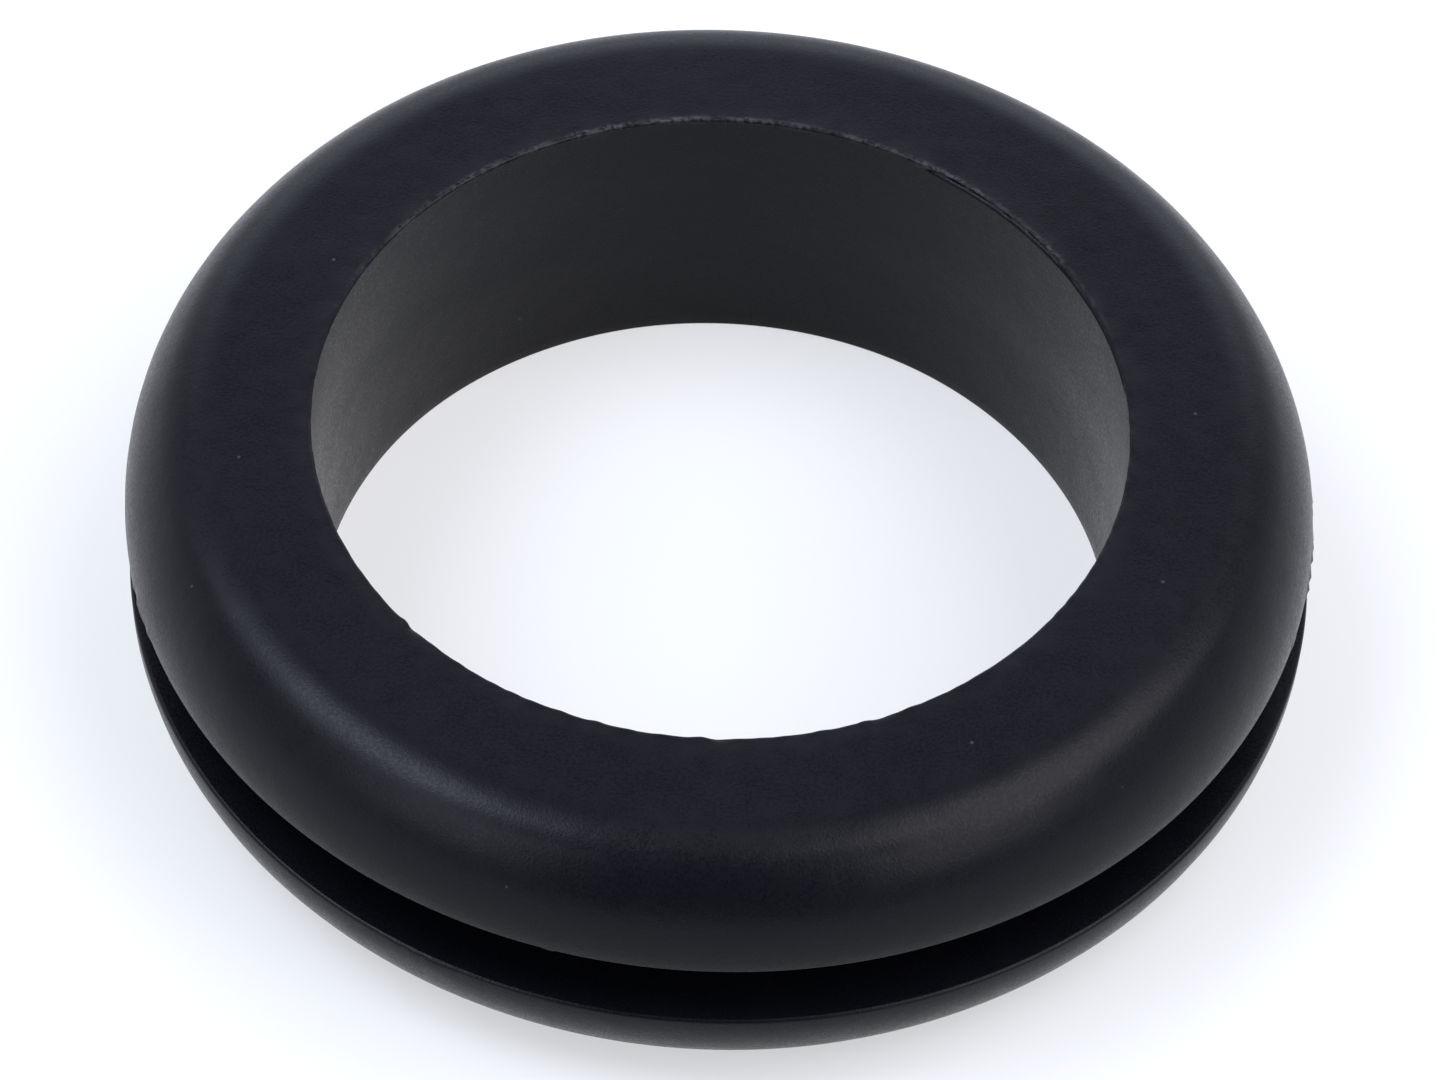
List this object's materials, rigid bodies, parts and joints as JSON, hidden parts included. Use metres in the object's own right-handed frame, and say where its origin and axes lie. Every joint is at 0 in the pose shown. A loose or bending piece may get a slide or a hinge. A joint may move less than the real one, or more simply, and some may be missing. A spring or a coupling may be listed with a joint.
{
  "type": "rubber grommet",
  "caption": "Round black rubber grommet: a moulded ring with a straight bore, an open groove round its waist for a panel's edge, and two flanges with rounded shoulders.",
  "frame": {"origin": "centre of the bore, on the end face of the lower flange, which the grommet lies on", "axes": "+Z along the bore's axis, up from the lower flange; the ring is the same all round, so X and Y are free"},
  "size_m": [0.047, 0.047, 0.0124],
  "materials": {
    "moulded_rubber": "satin black, with the fine grain of a blasted mould"
  },
  "bodies": {
    "root": {"grommet": "moulded_rubber"}
  },
  "joints": []
}
